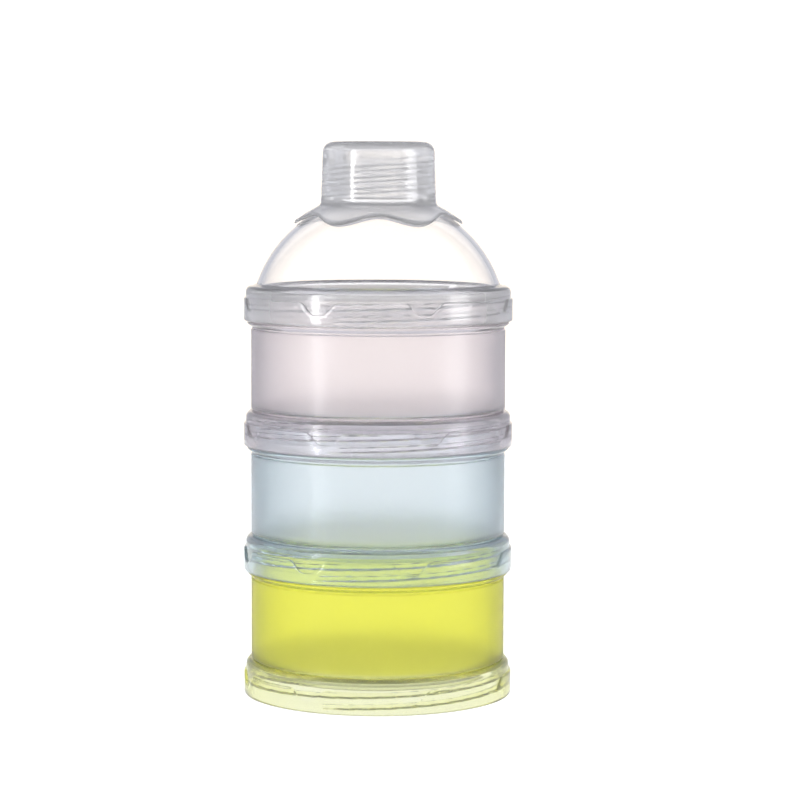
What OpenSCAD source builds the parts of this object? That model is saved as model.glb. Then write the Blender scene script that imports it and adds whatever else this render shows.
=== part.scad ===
// Stacking formula dispenser: three powder cups that screw onto each other, a dome lid with a
// pouring spout, and a small screw cap. Every threaded joint closes on a silicone seal.
// Millimetres. +Z is up, and the origin is the centre of the bottom cup's foot.

/* [Stack] */
// Height that one cup adds to the stack
tier_pitch = 39.3; // [34:0.1:60]
// Gap between a skirt's lower edge and the collar below it
skirt_gap = 0.4; // [0.3:0.1:0.8]

/* [Cup] */
// Outer radius of a cup's wall
cup_r = 40; // [39.9:0.1:40.3]
// Inner radius of a cup
cup_bore_r = 36.9; // [36.8:0.1:37.2]
// Thickness of a cup's floor
floor_t = 1.4; // [1.2:0.1:2]

/* [Skirt] */
// Height of the skirt from its lower edge to its shoulder
skirt_h = 10.9; // [10.8:0.1:12]
// Outer radius of the skirt above the wave
skirt_r = 41.7; // [41.6:0.1:41.9]
// Outer radius of the raised band below the wave
band_r = 42.3; // [42:0.1:42.6]
// Number of dips in the wave round the skirt
wave_count = 8; // [4:1:12]

/* [Thread] */
// Height between neighbouring ridges of the wide threads, which have two starts
ridge_pitch = 3.4; // [3.4:0.1:3.6]
// Height between neighbouring ridges of the spout's thread, which has two starts
spout_ridge_pitch = 3.4; // [3.3:0.1:3.5]

/* [Lid and cap] */
// Outer radius of the dome
dome_r = 40.4; // [40:0.1:41]
// Thickness of the dome's shell
dome_t = 1.6; // [1.2:0.1:2]
// Height of the spout's rim above the lid's lower edge
spout_top = 53; // [50:0.2:56]
// Outer radius of the cap at its top
cap_r = 17.6; // [17.4:0.1:18]
// Number of petals round the cap's flange
petal_count = 6; // [4:1:8]

/* [Hidden] */
$fn = 96;

starts = 2;

// Angle that each part is turned to as the stack stands, from the bottom cup up to the lid
part_turn = [-8.5, -8.5, 0, -3];

// Heights in a cup's or lid's own frame, with its skirt's lower edge at 0
ceiling_z = skirt_h - floor_t;
seal_t = 1.4;
seal_slack = 0.05;
rim_z = ceiling_z - seal_t;
collar_top_z = tier_pitch - skirt_gap;
neck_top_z = tier_pitch + rim_z;

// Radii of the wide joint, from the cup's bore outwards
plug_r = cup_bore_r - 0.3;
plug_t = 1.3;
plug_h = 2.8;
seal_in_r = plug_r + 0.2;
neck_r = 38.2;
seal_out_r = 38.6;
skirt_ridge_r = 38.8;
neck_ridge_r = 39.6;
skirt_bore_r = 40.3;
groove_r = 38.9;
dome_foot_r = 38.3;

// Chamfers and rounds
edge = 0.3;
lead_in = 0.4;
plug_nose_h = 0.6;
shoulder_round_r = 2;
wall_foot_round_r = 1.2;
floor_round_r = 2.5;
wall_foot_z = skirt_h + 1.1;

// Collar round the top of a cup's wall, which tapers down to a fine groove
collar_r = 41.2;
collar_taper_h = 1.7;
collar_groove_r = 39.6;
collar_groove_h = 0.4;
collar_round_r = 0.4;

// Ridge section of both threads
ridge_root_w = 1.9;
ridge_crest_w = 1.0;
ridge_sink = 0.3;
ridge_fade = 24;
ridge_end_share = 0.12;
ridge_step = 8;
spout_ridge_step = 10;

// Front of the object, where the ridges' heights are set
front = 270;
skirt_ridge_front_z = 2.4;
skirt_ridge_low_z = 2;
skirt_ridge_high_z = ceiling_z - 0.6;
neck_ridge_low_z = tier_pitch + 0.3;
neck_ridge_high_z = neck_top_z - 1.1;

// Wave of the skirt's raised band
wave_crest_z = 7.1;
wave_dip_z = 3.4;
wave_dip_w = 13;
wave_dip_flat_w = 3;
wave_dip_steps = 6;
wave_turn = 22.5;
wave_rise = wave_crest_z - wave_dip_z + 0.4;
band_sink = 0.4;

// Dome, spout and cap, in the lid's own frame
dome_centre_z = -1.4;
spout_r = 14;
spout_bore_r = 12.4;
spout_ridge_r = 15.2;
spout_ridge_low_z = 39;
spout_ridge_high_z = spout_top - 2.4;
spout_fillet = 1.6;
cap_bore_r = 15.6;
cap_ridge_r = 14.5;
cap_ridge_low_z = 38.6;
cap_ridge_high_z = spout_top - 3.4;
cap_seal_t = 1;
cap_seal_r = 14.2;
cap_top_t = 1.8;
cap_foot_r = 18.1;
cap_corner_r = 3.4;
flange_gap = 0.5;
flange_t = 0.9;
petal_mid_r = 24.7;
petal_swing = 1.75;
petal_points = 120;
flange_cut_low_z = 20;
flange_cut_h = 30;
cap_top_z = spout_top + cap_seal_t + cap_top_t;

// Height on a sphere about the dome's centre, at a radius from the axis
function dome_z(sphere_r, r) = dome_centre_z + sqrt(sphere_r * sphere_r - r * r);

// Points of an arc in a section, from angle a0 to a1
function arc(x, z, r, a0, a1, steps = 6) =
    [for (i = [0:steps]) let (a = a0 + (a1 - a0) * i / steps) [x + r * cos(a), z + r * sin(a)]];

// Points along a sphere about the dome's centre, from radius r0 to r1
function dome_arc(sphere_r, r0, r1, steps = 18) =
    let (a0 = acos(r0 / sphere_r), a1 = acos(r1 / sphere_r))
    arc(0, dome_centre_z, sphere_r, a0, a1, steps);

// Share of its full height that a ridge has at an angle from its nearer end
function fade(from_end) = min(1, ridge_end_share + (1 - ridge_end_share) * from_end / ridge_fade);

// One helical ridge from height z_low to z_high. It passes front_z at the front of the object.
module ridge(root_r, crest_r, z_low, z_high, lead, front_z, step) {
    outward = crest_r > root_r;
    sunk_r = outward ? root_r - ridge_sink : root_r + ridge_sink;
    a_low = front + (z_low - front_z) / lead * 360;
    a_span = (z_high - z_low) / lead * 360;
    n = ceil(a_span / step);
    points = [
        for (i = [0:n])
            let (
                a = a_span * i / n,
                share = fade(min(a, a_span - a)),
                z = z_low + lead * a / 360,
                c = cos(a_low + a),
                s = sin(a_low + a),
                r = sunk_r + (crest_r - sunk_r) * share
            )
            each [
                [sunk_r * c, sunk_r * s, z - ridge_root_w / 2],
                [r * c, r * s, z - ridge_crest_w / 2],
                [r * c, r * s, z + ridge_crest_w / 2],
                [sunk_r * c, sunk_r * s, z + ridge_root_w / 2],
            ]
    ];
    sides = [
        for (i = [0:n - 1], k = [0:3])
            let (a = 4 * i + k, b = 4 * i + (k + 1) % 4)
            each [[a, a + 4, b + 4], [a, b + 4, b]]
    ];
    ends = [[0, 1, 2], [0, 2, 3], [4 * n, 4 * n + 2, 4 * n + 1], [4 * n, 4 * n + 3, 4 * n + 2]];
    faces = concat(sides, ends);
    polyhedron(points, outward ? [for (f = faces) [f[0], f[2], f[1]]] : faces);
}

// A thread of two ridges
module thread(root_r, crest_r, z_low, z_high, pitch, front_z, step) {
    for (k = [0:starts - 1])
        rotate([0, 0, 360 / starts * k])
            ridge(root_r, crest_r, z_low, z_high, pitch * starts, front_z, step);
}

// Section of the skirt, its shoulder and the plug ring, from the axis side of the plug round to
// the groove above the shoulder
function skirt_section() = concat(
    [
        [plug_r - plug_t, ceiling_z],
        [plug_r - plug_t, ceiling_z - plug_h],
        [plug_r - edge, ceiling_z - plug_h],
        [plug_r, ceiling_z - plug_h + plug_nose_h],
        [plug_r, ceiling_z],
        [skirt_bore_r, ceiling_z],
        [skirt_bore_r, lead_in],
        [skirt_bore_r + lead_in, 0],
        [skirt_r, 0],
    ],
    arc(skirt_r - shoulder_round_r, skirt_h - shoulder_round_r, shoulder_round_r, 0, 90),
    [[groove_r, skirt_h]]
);

// Section of the collar, from the groove below it up to its top face
function collar_section() = concat(
    [
        [cup_r, collar_top_z - collar_taper_h - 2 * collar_groove_h],
        [collar_groove_r, collar_top_z - collar_taper_h - collar_groove_h],
        [collar_groove_r, collar_top_z - collar_taper_h],
    ],
    arc(collar_r - collar_round_r, collar_top_z - collar_round_r, collar_round_r, -40, 90, 4)
);

// One dip of the wave, as a cutter that points along +X
module dip() {
    rotate([90, 0, 90])
        translate([0, 0, skirt_r - 1])
            linear_extrude(band_r - skirt_r + 2)
                polygon([
                    for (side = [-1, 1], i = [0:wave_dip_steps])
                        let (share = side < 0 ? 1 - i / wave_dip_steps : i / wave_dip_steps)
                        [
                            side * (wave_dip_flat_w + (wave_dip_w - wave_dip_flat_w) * share) / 2,
                            wave_dip_z + wave_rise * share * share * (3 - 2 * share),
                        ]
                ]);
}

// Raised band round the skirt, with a wave along its upper edge
module wave_band() {
    difference() {
        rotate_extrude()
            polygon([
                [skirt_r - band_sink, 0],
                [band_r - edge, 0],
                [band_r, edge],
                [band_r, wave_crest_z - edge],
                [band_r - edge, wave_crest_z],
                [skirt_r - band_sink, wave_crest_z],
            ]);
        for (i = [0:wave_count - 1])
            rotate([0, 0, wave_turn + 360 / wave_count * i])
                dip();
    }
}

// The skirt's own thread, which takes the neck of the cup below
module skirt_thread() {
    thread(
        skirt_bore_r, skirt_ridge_r, skirt_ridge_low_z, skirt_ridge_high_z, ridge_pitch,
        skirt_ridge_front_z, ridge_step
    );
}

// A powder cup: bore, floor, neck with its thread, and skirt
module cup_shape() {
    rotate_extrude()
        polygon(concat(
            [[0, ceiling_z]],
            skirt_section(),
            arc(cup_r - wall_foot_round_r, wall_foot_z, wall_foot_round_r, -60, 0),
            collar_section(),
            [
                [neck_r, collar_top_z],
                [neck_r, neck_top_z - lead_in],
                [neck_r - lead_in, neck_top_z],
                [cup_bore_r + edge, neck_top_z],
                [cup_bore_r, neck_top_z - edge],
            ],
            arc(cup_bore_r - floor_round_r, skirt_h + floor_round_r, floor_round_r, 0, -90),
            [[0, skirt_h]]
        ));
    wave_band();
    skirt_thread();
    thread(
        neck_r, neck_ridge_r, neck_ridge_low_z, neck_ridge_high_z, ridge_pitch,
        tier_pitch + skirt_ridge_front_z + ridge_pitch / 2, ridge_step
    );
}

// The lid: skirt, dome shell and threaded spout
module lid_shape() {
    inner_r = dome_r - dome_t;
    ledge_r = sqrt(pow(inner_r, 2) - pow(skirt_h - dome_centre_z, 2));
    rotate_extrude()
        polygon(concat(
            skirt_section(),
            dome_arc(dome_r, dome_foot_r, spout_r + spout_fillet),
            [
                [spout_r, dome_z(dome_r, spout_r) + spout_fillet],
                [spout_r, spout_top - lead_in],
                [spout_r - lead_in, spout_top],
                [spout_bore_r + edge, spout_top],
                [spout_bore_r, spout_top - edge],
            ],
            dome_arc(inner_r, spout_bore_r, ledge_r),
            [[plug_r - plug_t, skirt_h]]
        ));
    wave_band();
    skirt_thread();
    thread(
        spout_r, spout_ridge_r, spout_ridge_low_z, spout_ridge_high_z, spout_ridge_pitch,
        spout_ridge_low_z + spout_ridge_pitch, spout_ridge_step
    );
}

// Outline of the cap's flange, a flower seen from above, with a notch at the front
module petals() {
    polygon([
        for (i = [0:petal_points - 1])
            let (a = 360 * i / petal_points, r = petal_mid_r - petal_swing * cos(petal_count * (a - front)))
            [r * cos(a), r * sin(a)]
    ]);
}

// The flange, a piece of a sphere that follows the dome
module cap_flange() {
    low_r = dome_r + flange_gap;
    high_r = low_r + flange_t;
    outer = petal_mid_r + petal_swing + 1;
    intersection() {
        rotate_extrude()
            polygon(concat(dome_arc(low_r, outer, cap_bore_r, 8), dome_arc(high_r, cap_bore_r, outer, 8)));
        translate([0, 0, flange_cut_low_z])
            linear_extrude(flange_cut_h)
                petals();
    }
}

// The cap: a drum with a rounded top, its thread, and the flange round its foot
module cap_shape() {
    foot_z = dome_z(dome_r + flange_gap, cap_bore_r);
    rotate_extrude()
        polygon(concat(
            [
                [0, cap_top_z - cap_top_t],
                [cap_bore_r, cap_top_z - cap_top_t],
                [cap_bore_r, foot_z],
                [cap_foot_r, dome_z(dome_r + flange_gap, cap_foot_r)],
            ],
            arc(cap_r - cap_corner_r, cap_top_z - cap_corner_r, cap_corner_r, 0, 90, 8),
            [[0, cap_top_z]]
        ));
    cap_flange();
    thread(
        cap_bore_r, cap_ridge_r, cap_ridge_low_z, cap_ridge_high_z, spout_ridge_pitch,
        spout_ridge_low_z + spout_ridge_pitch / 2, spout_ridge_step
    );
}

// A flat silicone ring, in the frame of the part that holds it
module seal_ring_shape() {
    difference() {
        translate([0, 0, rim_z + seal_slack])
            cylinder(h = seal_t - 2 * seal_slack, r = seal_out_r);
        translate([0, 0, rim_z - 1])
            cylinder(h = seal_t + 2, r = seal_in_r);
    }
}

// Places a part of the stack: its height, and the angle that it stands at
module at_tier(tier) {
    translate([0, 0, tier_pitch * tier])
        rotate([0, 0, part_turn[tier]])
            children();
}

module bottom_cup() { color("#dbe03c", 0.85) at_tier(0) cup_shape(); }
module middle_cup() { color("#c3dcea", 0.85) at_tier(1) cup_shape(); }
module top_cup() { color("#ecdce4", 0.85) at_tier(2) cup_shape(); }
module dome_lid() { color("#eef1f4", 0.5) at_tier(3) lid_shape(); }
module pouring_cap() { color("#e2e5ea", 0.8) at_tier(3) cap_shape(); }

module bottom_seal_ring() { color("#f4f4f0", 0.8) at_tier(0) seal_ring_shape(); }
module middle_seal_ring() { color("#f4f4f0", 0.8) at_tier(1) seal_ring_shape(); }
module top_seal_ring() { color("#f4f4f0", 0.8) at_tier(2) seal_ring_shape(); }
module dome_seal_ring() { color("#f4f4f0", 0.8) at_tier(3) seal_ring_shape(); }

module cap_seal_disc() {
    color("#f4f4f0", 0.8)
        at_tier(3)
            translate([0, 0, spout_top + seal_slack])
                cylinder(h = cap_seal_t - 2 * seal_slack, r = cap_seal_r);
}

bottom_cup();
bottom_seal_ring();
middle_cup();
middle_seal_ring();
top_cup();
top_seal_ring();
dome_lid();
dome_seal_ring();
cap_seal_disc();
pouring_cap();
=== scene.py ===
"""Looks for the stacking formula dispenser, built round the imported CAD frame. Metres, +Z up, front -Y."""
import math

import bpy
import numpy as np
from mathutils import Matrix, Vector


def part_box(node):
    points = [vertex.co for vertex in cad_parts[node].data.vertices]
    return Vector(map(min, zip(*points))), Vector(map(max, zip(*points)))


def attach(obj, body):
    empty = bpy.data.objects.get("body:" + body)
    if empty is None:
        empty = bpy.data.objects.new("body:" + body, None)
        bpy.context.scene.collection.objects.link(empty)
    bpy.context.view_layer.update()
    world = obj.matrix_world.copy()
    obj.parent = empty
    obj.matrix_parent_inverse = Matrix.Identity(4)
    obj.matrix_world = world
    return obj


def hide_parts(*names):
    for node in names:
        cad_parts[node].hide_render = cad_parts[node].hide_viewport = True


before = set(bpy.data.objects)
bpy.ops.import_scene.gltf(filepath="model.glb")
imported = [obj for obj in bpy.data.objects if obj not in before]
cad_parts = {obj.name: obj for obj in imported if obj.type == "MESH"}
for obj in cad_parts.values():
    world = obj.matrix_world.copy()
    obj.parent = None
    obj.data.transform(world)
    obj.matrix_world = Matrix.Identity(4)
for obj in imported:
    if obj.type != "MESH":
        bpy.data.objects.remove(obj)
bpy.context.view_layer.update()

MM = 0.001
FRONT = -math.pi / 2
COLUMNS = 360
THREAD_ROW = 0.17
SHARP_ANGLE = math.radians(38)

# Heights in a cup's or lid's own frame, in millimetres, with its skirt's lower edge at 0
SKIRT_H = 10.9
CEILING_Z = 9.5
SEAL_T = 1.4
SEAL_SLACK = 0.05
RIM_Z = CEILING_Z - SEAL_T
COLLAR_GAP = 0.4

# Radii of the wide joint, in millimetres
CUP_BORE_R = 36.9
CUP_R = 40.0
PLUG_R = 36.6
PLUG_T = 1.3
PLUG_H = 2.8
PLUG_NOSE_H = 0.6
SEAL_IN_R = 36.8
SEAL_OUT_R = 38.6
NECK_R = 38.2
NECK_RIDGE_R = 39.6
SKIRT_BORE_R = 40.3
SKIRT_RIDGE_R = 38.8
SKIRT_R = 41.7
BAND_R = 42.3
GROOVE_R = 38.9
COLLAR_R = 41.2
COLLAR_GROOVE_R = 39.6
COLLAR_GROOVE_H = 0.4
COLLAR_TAPER_H = 1.7

# Chamfers and rounds, in millimetres
EDGE = 0.3
PLUG_EDGE = 0.2
SEAL_EDGE = 0.25
LEAD_IN_W = 0.45
LEAD_IN_H = 0.5
BAND_FOOT_W = 0.35
BAND_FOOT_H = 0.4
RIM_EDGE_H = 0.45
SHOULDER_ROUND_R = 2
COLLAR_ROUND_R = 0.4
WALL_FOOT_ROUND_R = 1.2
WALL_FOOT_Z = SKIRT_H + 1.1
FLOOR_ROUND_R = 2.5

# Threads: both have two starts
RIDGE_PITCH = 3.4
LEAD = 2 * RIDGE_PITCH
RIDGE_CREST_W = 1.0
RIDGE_ROOT_W = 1.75
RIDGE_FADE = math.radians(24)
RIDGE_END_SHARE = 0.12
THREAD_INSET = 0.05
SKIRT_RIDGE_FRONT_Z = 2.4
SKIRT_RIDGE_LOW_Z = 2.0
SKIRT_RIDGE_HIGH_Z = CEILING_Z - 0.6

# Wave along the top of the skirt's raised band
WAVE_COUNT = 8
WAVE_CREST_Z = 7.1
WAVE_DIP_Z = 3.4
WAVE_DIP_W = 13.0
WAVE_DIP_FLAT_W = 3.0
WAVE_TURN = math.radians(22.5)

# Angle that each part is turned to as the stack stands, in degrees
PART_TURN = {"bottom_cup": -8.5, "middle_cup": -8.5, "top_cup": 0.0, "dome_lid": -3.0}

# Dome, spout and cap, in the lid's own frame, in millimetres
DOME_R = 40.4
DOME_T = 1.6
DOME_CENTRE_Z = -1.4
DOME_FOOT_R = 38.3
SPOUT_R = 14.0
SPOUT_BORE_R = 12.4
SPOUT_RIDGE_R = 15.2
SPOUT_TOP_Z = 53.0
SPOUT_FILLET = 1.6
SPOUT_RIDGE_Z = (39.0, SPOUT_TOP_Z - 2.4)
CAP_R = 17.6
CAP_FOOT_R = 18.1
CAP_BORE_R = 15.6
CAP_RIDGE_R = 14.5
CAP_RIDGE_Z = (38.6, SPOUT_TOP_Z - 3.4)
CAP_TOP_T = 1.8
CAP_CORNER_R = 3.4
CAP_FILLET = 0.5
CAP_SEAL_T = 1.0
CAP_SEAL_R = 14.2
CAP_TOP_Z = SPOUT_TOP_Z + CAP_SEAL_T + CAP_TOP_T
FLANGE_GAP = 0.5
FLANGE_T = 0.9
PETALS = 6
PETAL_MID_R = 24.7
PETAL_SWING = 1.75

# Table top, in metres: it glows for GLOW_R to either side of its middle, and less from GLOW_END_R on
FLOOR_R = 0.7
GLOW_R = 0.24
GLOW_END_R = 0.4

# Colours of the light from all round, and where they change from the camera's side, -1, to the back, 1
LEFT_WALL = (0.86, 0.88, 0.94)
RIGHT_WALL = (0.86, 0.86, 0.90)
FLAGS = (0.64, 0.65, 0.71)
BACKDROP = (1.30, 1.21, 1.11)
TO_FLAGS = (0.1, 0.7)
TO_BACKDROP = (0.95, 0.985)

# Camera: focal length in millimetres, place in metres, and angles in degrees
LENS = 119.25
CAMERA_PLACE = (0, -0.833, 0.16485)
TILT = 4.96
ROLL = -0.17
YAW = -0.46

# Roughness of the polished skirts and of the dome
SKIRT_ROUGH = 0.14
DOME_ROUGH = 0.03

# Heights at which the polish gives way to another finish, in millimetres
CUP_FADE_Z = SKIRT_H - 0.6
DOME_FADE_Z = SKIRT_H - 1.2
NECK_FADE_DROP = 3
FADE_H = 2

angles = np.arange(COLUMNS) / COLUMNS * 2 * math.pi


# Places from the frame

def base_of(node):
    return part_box(node)[0][2]


pitch_mm = (base_of("middle_cup") - base_of("bottom_cup")) / MM


# Rows of points. A row is (radius, height) arrays, one value per column.

def row(r, z):
    return np.broadcast_to(r, COLUMNS).astype(float), np.broadcast_to(z, COLUMNS).astype(float)


def rows(*points):
    return [row(r, z) for r, z in points]


def arc(x, z, r, start, end, steps=6):
    turns = np.radians(np.linspace(start, end, steps + 1))
    return [row(x + r * math.cos(a), z + r * math.sin(a)) for a in turns]


def straight(r0, z0, r1, z1, steps):
    """Rows along a straight flank, without its two ends."""
    shares = np.linspace(0, 1, steps + 2)[1:-1]
    return [row(r0 + (r1 - r0) * s, z0 + (z1 - z0) * s) for s in shares]


def dome_z(sphere_r, r):
    return DOME_CENTRE_Z + np.sqrt(sphere_r ** 2 - np.square(r))


def dome_rows(sphere_r, r0, r1, steps):
    turns = np.linspace(math.acos(r0 / sphere_r), math.acos(r1 / sphere_r), steps + 1)
    return [row(sphere_r * math.cos(a), DOME_CENTRE_Z + sphere_r * math.sin(a)) for a in turns]


def smooth(share):
    share = np.clip(share, 0, 1)
    return share * share * (3 - 2 * share)


def thread_rows(root_r, crest_r, z_from, z_to, low, high, front_z, turn):
    """A wall from z_from to z_to with helical ridges, whose centre lines run from low to high."""
    steps = max(2, round(abs(z_to - z_from) / THREAD_ROW))
    climb = LEAD * ((angles - turn - FRONT + math.pi) % (2 * math.pi) - math.pi) / (2 * math.pi)
    made = []
    for z in np.linspace(z_from, z_to, steps + 1):
        centre = front_z + climb + RIDGE_PITCH * np.round((z - front_z - climb) / RIDGE_PITCH)
        from_end = np.minimum(centre - low, high - centre) / LEAD * 2 * math.pi
        faded = smooth(RIDGE_END_SHARE + (1 - RIDGE_END_SHARE) * from_end / RIDGE_FADE)
        share = np.where(from_end > 0, faded, 0)
        flank = (RIDGE_ROOT_W / 2 - np.abs(z - centre)) / ((RIDGE_ROOT_W - RIDGE_CREST_W) / 2)
        made.append(row(root_r + (crest_r - root_r) * share * smooth(flank), z))
    return made


def wave_z(turn):
    """Height of the raised band's upper edge at every column."""
    step = 2 * math.pi / WAVE_COUNT
    from_dip = (angles - turn - WAVE_TURN + step / 2) % step - step / 2
    along = np.abs(from_dip) * BAND_R
    share = (along - WAVE_DIP_FLAT_W / 2) / ((WAVE_DIP_W - WAVE_DIP_FLAT_W) / 2)
    return WAVE_DIP_Z + (WAVE_CREST_Z - WAVE_DIP_Z) * smooth(share)


def skirt_rows(turn):
    """The plug, the skirt's bore with its ridges, its lower edge, the waved band and the shoulder."""
    top = wave_z(turn)
    plug_in = PLUG_R - PLUG_T
    plug_foot_z = CEILING_Z - PLUG_H
    made = rows(
        (plug_in, CEILING_Z), (plug_in, plug_foot_z + PLUG_EDGE), (plug_in + PLUG_EDGE, plug_foot_z),
        (PLUG_R - EDGE, plug_foot_z), (PLUG_R, plug_foot_z + PLUG_NOSE_H), (PLUG_R, CEILING_Z),
        (SKIRT_BORE_R, CEILING_Z),
    )
    made += thread_rows(
        SKIRT_BORE_R, SKIRT_RIDGE_R, CEILING_Z - THREAD_INSET, LEAD_IN_H + THREAD_INSET,
        SKIRT_RIDGE_LOW_Z, SKIRT_RIDGE_HIGH_Z, SKIRT_RIDGE_FRONT_Z, turn)
    made += rows((SKIRT_BORE_R, LEAD_IN_H), (SKIRT_BORE_R + 0.25, 0.12), (SKIRT_BORE_R + LEAD_IN_W, 0))
    made += rows((BAND_R - BAND_FOOT_W, 0), (BAND_R - 0.12, 0.1), (BAND_R, BAND_FOOT_H))
    made += [row(BAND_R, BAND_FOOT_H + (top - BAND_FOOT_H - EDGE) * share) for share in (0.33, 0.66, 1)]
    made += [row(BAND_R - 0.08, top - 0.1), row(BAND_R - 0.22, top), row(SKIRT_R, top + 0.06)]
    wall_h = SKIRT_H - SHOULDER_ROUND_R - 0.1 - top
    made += [row(SKIRT_R, top + wall_h * share) for share in (0.33, 0.66)]
    made += arc(SKIRT_R - SHOULDER_ROUND_R, SKIRT_H - SHOULDER_ROUND_R, SHOULDER_ROUND_R, 0, 90, 8)
    return made


def cup_rows(pitch, turn):
    """A powder cup's section, from the axis under its floor round to the axis inside it."""
    collar_top = pitch - COLLAR_GAP
    neck_top = pitch + RIM_Z
    taper_z = collar_top - COLLAR_TAPER_H
    groove_z = taper_z - COLLAR_GROOVE_H
    floor_z = SKIRT_H
    ridge_low = pitch + 0.3
    ridge_high = neck_top - 1.1
    made = rows((0, CEILING_Z)) + straight(0, CEILING_Z, PLUG_R - PLUG_T, CEILING_Z, 5) + skirt_rows(turn)
    made += rows((GROOVE_R + 0.2, SKIRT_H))
    made += arc(CUP_R - WALL_FOOT_ROUND_R, WALL_FOOT_Z, WALL_FOOT_ROUND_R, -60, 0)
    made += straight(CUP_R, WALL_FOOT_Z, CUP_R, groove_z - 0.4, 8)
    made += rows((CUP_R, groove_z - 0.4), (COLLAR_GROOVE_R, groove_z), (COLLAR_GROOVE_R, taper_z))
    made += arc(COLLAR_R - COLLAR_ROUND_R, collar_top - COLLAR_ROUND_R, COLLAR_ROUND_R, -40, 90, 5)
    made += rows((NECK_R, collar_top))
    made += thread_rows(
        NECK_R, NECK_RIDGE_R, collar_top + THREAD_INSET, neck_top - RIM_EDGE_H, ridge_low, ridge_high,
        pitch + SKIRT_RIDGE_FRONT_Z + RIDGE_PITCH / 2, turn)
    made += rows((NECK_R - 0.1, neck_top - 0.15), (NECK_R - 0.4, neck_top), (CUP_BORE_R + EDGE, neck_top))
    made += rows((CUP_BORE_R, neck_top - EDGE))
    made += straight(CUP_BORE_R, neck_top - EDGE, CUP_BORE_R, floor_z + FLOOR_ROUND_R, 10)
    made += arc(CUP_BORE_R - FLOOR_ROUND_R, floor_z + FLOOR_ROUND_R, FLOOR_ROUND_R, 0, -90, 8)
    made += straight(CUP_BORE_R - FLOOR_ROUND_R, floor_z, 0, floor_z, 5) + rows((0, floor_z))
    return made


def lid_rows(turn):
    """The dome lid's section, a closed loop."""
    inner_r = DOME_R - DOME_T
    root_z = dome_z(DOME_R, SPOUT_R + SPOUT_FILLET)
    made = skirt_rows(turn)
    made += dome_rows(DOME_R, DOME_FOOT_R, SPOUT_R + SPOUT_FILLET, 40)
    made += rows((SPOUT_R + 0.5 * SPOUT_FILLET, root_z + 0.25 * SPOUT_FILLET))
    made += rows((SPOUT_R + 0.1 * SPOUT_FILLET, root_z + 0.7 * SPOUT_FILLET))
    made += thread_rows(
        SPOUT_R, SPOUT_RIDGE_R, root_z + SPOUT_FILLET, SPOUT_TOP_Z - RIM_EDGE_H, *SPOUT_RIDGE_Z,
        SPOUT_RIDGE_Z[0] + RIDGE_PITCH, turn)
    made += rows((SPOUT_R - 0.1, SPOUT_TOP_Z - 0.12), (SPOUT_R - 0.4, SPOUT_TOP_Z))
    made += rows((SPOUT_BORE_R + EDGE, SPOUT_TOP_Z), (SPOUT_BORE_R, SPOUT_TOP_Z - EDGE))
    made += straight(SPOUT_BORE_R, SPOUT_TOP_Z - EDGE, SPOUT_BORE_R, dome_z(inner_r, SPOUT_BORE_R), 8)
    ledge_r = math.sqrt(inner_r ** 2 - (SKIRT_H - DOME_CENTRE_Z) ** 2)
    made += dome_rows(inner_r, SPOUT_BORE_R, ledge_r, 40) + rows((PLUG_R - PLUG_T, SKIRT_H))
    return made


def petal_r():
    return PETAL_MID_R - PETAL_SWING * np.cos(PETALS * (angles - FRONT))


def cap_rows(turn):
    """The cap's section, from the axis inside it round its petal flange to the axis on top."""
    low_r = DOME_R + FLANGE_GAP
    high_r = low_r + FLANGE_T
    rim_r = petal_r()
    inside_z = CAP_TOP_Z - CAP_TOP_T
    foot_z = dome_z(low_r, CAP_BORE_R)
    made = rows((0, inside_z)) + straight(0, inside_z, CAP_BORE_R, inside_z, 4)
    made += rows((CAP_BORE_R, inside_z))
    made += thread_rows(
        CAP_BORE_R, CAP_RIDGE_R, inside_z - THREAD_INSET, foot_z + 2 * THREAD_INSET, *CAP_RIDGE_Z,
        SPOUT_RIDGE_Z[0] + RIDGE_PITCH / 2, turn)
    for share in np.linspace(0, 1, 12):
        r = CAP_BORE_R + (rim_r - EDGE - CAP_BORE_R) * share
        made.append(row(r, dome_z(low_r, r)))
    made.append(row(rim_r, dome_z((low_r + high_r) / 2, rim_r)))
    for share in np.linspace(0, 1, 12):
        r = rim_r - EDGE + (CAP_FOOT_R + CAP_FILLET - rim_r + EDGE) * share
        made.append(row(r, dome_z(high_r, r)))
    wall_z = dome_z(high_r, CAP_FOOT_R)
    made += rows((CAP_FOOT_R + 0.2 * CAP_FILLET, wall_z + 0.7 * CAP_FILLET))
    made += straight(CAP_FOOT_R, wall_z + CAP_FILLET, CAP_R, CAP_TOP_Z - CAP_CORNER_R, 6)
    made += arc(CAP_R - CAP_CORNER_R, CAP_TOP_Z - CAP_CORNER_R, CAP_CORNER_R, 0, 90, 10)
    made += straight(CAP_R - CAP_CORNER_R, CAP_TOP_Z, 0, CAP_TOP_Z, 4) + rows((0, CAP_TOP_Z))
    return made


def seal_ring_rows():
    inner = SEAL_IN_R + SEAL_EDGE
    outer = SEAL_OUT_R - SEAL_EDGE
    low = RIM_Z + SEAL_SLACK + SEAL_EDGE
    high = CEILING_Z - SEAL_SLACK - SEAL_EDGE
    made = arc(inner, low, SEAL_EDGE, 180, 270, 3) + arc(outer, low, SEAL_EDGE, 270, 360, 3)
    return made + arc(outer, high, SEAL_EDGE, 0, 90, 3) + arc(inner, high, SEAL_EDGE, 90, 180, 3)


def seal_disc_rows():
    low = SPOUT_TOP_Z + SEAL_SLACK
    high = SPOUT_TOP_Z + CAP_SEAL_T - SEAL_SLACK
    outer = CAP_SEAL_R - SEAL_EDGE
    made = rows((0, low)) + arc(outer, low + SEAL_EDGE, SEAL_EDGE, 270, 360, 3)
    return made + arc(outer, high - SEAL_EDGE, SEAL_EDGE, 0, 90, 3) + rows((0, high))


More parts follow.
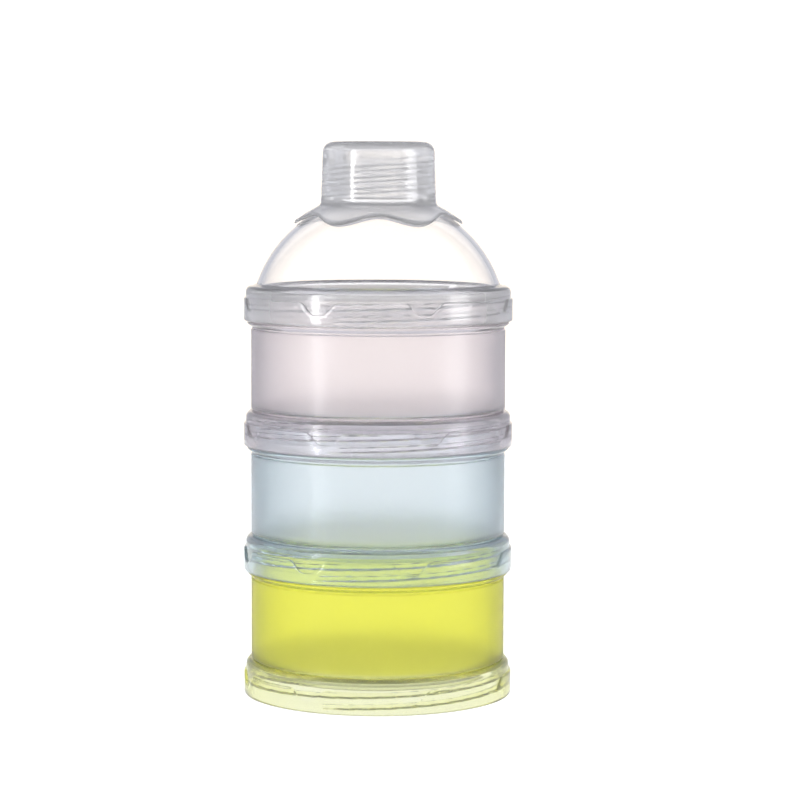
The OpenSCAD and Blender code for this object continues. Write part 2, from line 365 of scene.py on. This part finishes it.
def revolve(name, section, base_z):
    """A closed mesh from rows of points. Rows at the axis become one point each."""
    verts, firsts, poles = [], [], []
    for r, z in section:
        pole = float(np.max(r)) < 1e-6
        firsts.append(len(verts))
        poles.append(pole)
        if pole:
            verts.append((0, 0, z[0] * MM + base_z))
        else:
            verts += zip(r * np.cos(angles) * MM, r * np.sin(angles) * MM, z * MM + base_z)
    faces = []
    last = len(section) - 1
    for j in range(len(section) if not poles[0] else last):
        k = (j + 1) % len(section)
        for i in range(COLUMNS):
            n = (i + 1) % COLUMNS
            low = [firsts[j]] if poles[j] else [firsts[j] + i, firsts[j] + n]
            high = [firsts[k]] if poles[k] else [firsts[k] + n, firsts[k] + i]
            faces.append(low + high)
    mesh = bpy.data.meshes.new(name)
    mesh.from_pydata(verts, [], faces)
    mesh.validate()
    mesh.polygons.foreach_set("use_smooth", [True] * len(mesh.polygons))
    mesh.set_sharp_from_angle(angle=SHARP_ANGLE)
    mesh.update()
    obj = bpy.data.objects.new(name, mesh)
    bpy.context.collection.objects.link(obj)
    return obj


# Materials

def shader(name, color, **values):
    """A Principled material and its nodes. Values are set on the shader's own sockets."""
    material = bpy.data.materials.new(name)
    material.use_nodes = True
    tree = material.node_tree
    principled = tree.nodes["Principled BSDF"]
    principled.inputs["Base Color"].default_value = (*color, 1)
    for socket, value in values.items():
        principled.inputs[socket.replace("_", " ")].default_value = value
    return material, tree, principled


def add_moulding_bump(tree, principled, scale, strength):
    """The faint unevenness of a moulded surface."""
    coords = tree.nodes.new("ShaderNodeTexCoord")
    noise = tree.nodes.new("ShaderNodeTexNoise")
    noise.inputs["Scale"].default_value = scale
    noise.inputs["Detail"].default_value = 2
    bump = tree.nodes.new("ShaderNodeBump")
    bump.inputs["Strength"].default_value = strength
    bump.inputs["Distance"].default_value = 0.0002
    tree.links.new(coords.outputs["Object"], noise.inputs["Vector"])
    tree.links.new(noise.outputs["Fac"], bump.inputs["Height"])
    tree.links.new(bump.outputs["Normal"], principled.inputs["Normal"])


def add_height_fade(tree, principled, socket, stops):
    """Drives a socket by height: stops are (height in metres, value), joined by straight ramps."""
    coords = tree.nodes.new("ShaderNodeTexCoord")
    parts = tree.nodes.new("ShaderNodeSeparateXYZ")
    span = tree.nodes.new("ShaderNodeMapRange")
    low, high = stops[0][0], stops[-1][0]
    span.inputs["From Min"].default_value = low
    span.inputs["From Max"].default_value = high
    ramp = tree.nodes.new("ShaderNodeValToRGB")
    points = ramp.color_ramp.elements
    while len(points) < len(stops):
        points.new(0.5)
    for point, (height, value) in zip(points, stops):
        point.position = (height - low) / (high - low)
        point.color = (*value, 1) if isinstance(value, tuple) else (value, value, value, 1)
    tree.links.new(coords.outputs["Object"], parts.inputs["Vector"])
    tree.links.new(parts.outputs["Z"], span.inputs["Value"])
    tree.links.new(span.outputs["Result"], ramp.inputs["Fac"])
    tree.links.new(ramp.outputs["Color"], principled.inputs[socket])


def add_absorption(tree, color, density):
    """Tint and darkening that grow with the light's path inside the plastic."""
    absorption = tree.nodes.new("ShaderNodeVolumeAbsorption")
    absorption.inputs["Color"].default_value = (*color, 1)
    absorption.inputs["Density"].default_value = density
    tree.links.new(absorption.outputs["Volume"], tree.nodes["Material Output"].inputs["Volume"])


def cup_material(name, base_z, skirt_color, wall_color, rough, ior, absorbed, density):
    """Milky wall above, clearer skirt below, as polished and textured halves of one mould give."""
    material, tree, principled = shader(
        name, wall_color, IOR=ior, Specular_IOR_Level=0.3, Transmission_Weight=0.9, Subsurface_Weight=0.8,
        Subsurface_Scale=0.002, Subsurface_Radius=(1, 1, 1))
    join = base_z + CUP_FADE_Z * MM
    top = join + FADE_H * MM
    neck = base_z + (pitch_mm - NECK_FADE_DROP) * MM
    rim = neck + FADE_H * MM
    add_height_fade(tree, principled, "Roughness", [
        (base_z, SKIRT_ROUGH), (join, SKIRT_ROUGH), (top, rough), (neck, rough), (rim, SKIRT_ROUGH)])
    add_height_fade(tree, principled, "Base Color", [
        (base_z, skirt_color), (join, skirt_color), (top, wall_color)])
    add_moulding_bump(tree, principled, scale=60, strength=0.08)
    add_absorption(tree, absorbed, density)
    return material


def clear_material(base_z):
    """Clear dome above, with a milkier skirt."""
    material, tree, principled = shader(
        "clear_plastic", (1, 1, 1), IOR=1.47, Specular_IOR_Level=0.4, Subsurface_Weight=0.8,
        Subsurface_Scale=0.002, Subsurface_Radius=(1, 1, 1))
    join = base_z + DOME_FADE_Z * MM
    top = join + FADE_H * MM
    add_height_fade(tree, principled, "Roughness", [
        (base_z, SKIRT_ROUGH), (join, SKIRT_ROUGH), (top, DOME_ROUGH)])
    add_height_fade(tree, principled, "Transmission Weight", [(base_z, 0.88), (join, 0.88), (top, 1.0)])
    add_moulding_bump(tree, principled, scale=45, strength=0.06)
    add_absorption(tree, (0.93, 0.92, 0.94), density=100)
    return material


def milky_material():
    material, tree, principled = shader(
        "milky_plastic", (1, 1, 1), IOR=1.49, Specular_IOR_Level=0.4, Transmission_Weight=0.81,
        Roughness=0.1, Subsurface_Weight=0.8, Subsurface_Scale=0.002, Subsurface_Radius=(1, 1, 1))
    add_moulding_bump(tree, principled, scale=80, strength=0.12)
    add_absorption(tree, (0.99, 0.99, 0.99), density=100)
    return material


def silicone_material():
    material, tree, principled = shader(
        "silicone", (0.95, 0.95, 0.95), IOR=1.41, Transmission_Weight=0.8, Roughness=0.4)
    add_moulding_bump(tree, principled, scale=300, strength=0.2)
    return material


# Pieces

def add_piece(name, section, base_z, node, body, material):
    obj = revolve(name, section, base_z)
    obj.data.materials.append(material)
    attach(obj, body)
    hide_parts(node)
    return obj


cups = (
    ("bottom_cup", "base", "yellow_green_plastic", dict(
        skirt_color=(0.84, 0.855, 0.75), wall_color=(0.95, 0.95, 0.40), rough=0.42, ior=1.18,
        absorbed=(0.83, 0.83, 0.01), density=130)),
    ("middle_cup", "middle", "pale_blue_plastic", dict(
        skirt_color=(0.90, 0.98, 0.98), wall_color=(0.99, 0.98, 0.99), rough=0.3, ior=1.4,
        absorbed=(0.52, 0.76, 0.85), density=100)),
    ("top_cup", "top", "pale_pink_plastic", dict(
        skirt_color=(0.98, 0.96, 1), wall_color=(0.98, 0.97, 0.98), rough=0.3, ior=1.4,
        absorbed=(0.85, 0.76, 0.80), density=100)),
)
for node, body, slot, look in cups:
    base_z = base_of(node)
    turn = math.radians(PART_TURN[node])
    material = cup_material(slot, base_z, **look)
    add_piece(node + "_shell", cup_rows(pitch_mm, turn), base_z, node, body, material)

lid_z = base_of("dome_lid")
lid_turn = math.radians(PART_TURN["dome_lid"])
add_piece(
    "dome_lid_shell", lid_rows(lid_turn), lid_z, "dome_lid", "lid", clear_material(lid_z))
add_piece(
    "pouring_cap_shell", cap_rows(lid_turn), lid_z, "pouring_cap", "cap", milky_material())

silicone = silicone_material()
add_piece("cap_seal_liner", seal_disc_rows(), lid_z, "cap_seal_disc", "cap_seal", silicone)
seals = (
    ("bottom_seal_ring", "base", "bottom_cup"), ("middle_seal_ring", "middle_seal", "middle_cup"),
    ("top_seal_ring", "top_seal", "top_cup"), ("dome_seal_ring", "lid_seal", "dome_lid"),
)
for node, body, holder in seals:
    add_piece(node + "_lip", seal_ring_rows(), base_of(holder), node, body, silicone)


# Studio

def add_smooth_range(tree, value, low, high, at_low=0.0, at_high=1.0):
    """A number that passes smoothly from at_low to at_high while value goes from low to high."""
    span = tree.nodes.new("ShaderNodeMapRange")
    span.interpolation_type = "SMOOTHSTEP"
    span.inputs["From Min"].default_value = low
    span.inputs["From Max"].default_value = high
    span.inputs["To Min"].default_value = at_low
    span.inputs["To Max"].default_value = at_high
    tree.links.new(value, span.inputs["Value"])
    return span.outputs["Result"]


def add_mix(tree, factor, color_a, color_b):
    """A linked colour that gives way to the plain color_b as the factor rises."""
    mix = tree.nodes.new("ShaderNodeMix")
    mix.data_type = "RGBA"
    mix.inputs["B"].default_value = (*color_b, 1)
    tree.links.new(factor, mix.inputs["Factor"])
    tree.links.new(color_a, mix.inputs["A"])
    return mix.outputs["Result"]


def add_floor():
    """A pale round table top, lit from within along its middle so that it stays white."""
    ring = [(FLOOR_R * math.cos(a), FLOOR_R * math.sin(a), 0) for a in angles]
    mesh = bpy.data.meshes.new("floor")
    mesh.from_pydata(ring, [], [list(range(COLUMNS))])
    material, tree, principled = shader("floor_paper", (0.2, 0.2, 0.2), Roughness=0.9)
    principled.inputs["Emission Color"].default_value = (1, 1, 1, 1)
    coords = tree.nodes.new("ShaderNodeTexCoord")
    parts = tree.nodes.new("ShaderNodeSeparateXYZ")
    aside = tree.nodes.new("ShaderNodeMath")
    aside.operation = "ABSOLUTE"
    tree.links.new(coords.outputs["Object"], parts.inputs["Vector"])
    tree.links.new(parts.outputs["X"], aside.inputs[0])
    glow = add_smooth_range(tree, aside.outputs["Value"], GLOW_R, GLOW_END_R, at_low=1.02, at_high=0.3)
    tree.links.new(glow, principled.inputs["Emission Strength"])
    mesh.materials.append(material)
    obj = bpy.data.objects.new("floor", mesh)
    bpy.context.collection.objects.link(obj)


def add_softbox(name, azimuth, distance, height, width, tall, power):
    """An area light that faces the stack. Azimuth 0 is the camera's side, positive to its right."""
    light = bpy.data.lights.new(name, "AREA")
    light.shape = "RECTANGLE"
    light.size = width
    light.size_y = tall
    light.energy = power
    obj = bpy.data.objects.new(name, light)
    a = math.radians(azimuth)
    obj.location = (distance * math.sin(a), -distance * math.cos(a), height)
    obj.rotation_euler = (math.radians(90), 0, a)
    bpy.context.collection.objects.link(obj)


def add_world():
    """Pale walls, which darken to grey flags towards the back, and a bright warm backdrop between them."""
    world = bpy.data.worlds.new("studio")
    world.use_nodes = True
    tree = world.node_tree
    coords = tree.nodes.new("ShaderNodeTexCoord")
    parts = tree.nodes.new("ShaderNodeSeparateXYZ")
    tree.links.new(coords.outputs["Generated"], parts.inputs["Vector"])
    side = tree.nodes.new("ShaderNodeMapRange")
    side.inputs["From Min"].default_value = -1
    tree.links.new(parts.outputs["X"], side.inputs["Value"])
    across = tree.nodes.new("ShaderNodeValToRGB")
    across.color_ramp.elements[0].color = (*LEFT_WALL, 1)
    across.color_ramp.elements[1].color = (*RIGHT_WALL, 1)
    tree.links.new(side.outputs["Result"], across.inputs["Fac"])
    to_flags = add_smooth_range(tree, parts.outputs["Y"], *TO_FLAGS)
    walls = add_mix(tree, to_flags, across.outputs["Color"], FLAGS)
    to_backdrop = add_smooth_range(tree, parts.outputs["Y"], *TO_BACKDROP)
    around = add_mix(tree, to_backdrop, walls, BACKDROP)
    tree.links.new(around, tree.nodes["Background"].inputs["Color"])
    bpy.context.scene.world = world


def add_camera():
    """A long lens a little above the middle of the stack, pitched down, with the stack left of centre."""
    data = bpy.data.cameras.new("camera")
    data.sensor_width = 36
    data.lens = LENS
    camera = bpy.data.objects.new("camera", data)
    camera.location = CAMERA_PLACE
    camera.rotation_euler = (math.radians(90 - TILT), math.radians(ROLL), math.radians(YAW))
    bpy.context.collection.objects.link(camera)
    bpy.context.scene.camera = camera


add_floor()
add_softbox("key_strip", azimuth=-54, distance=0.9, height=0.25, width=0.12, tall=0.7, power=4)
add_softbox("fill_box", azimuth=72, distance=0.9, height=0.25, width=0.35, tall=0.7, power=4)
add_world()
add_camera()
bpy.context.scene.view_settings.view_transform = "Standard"
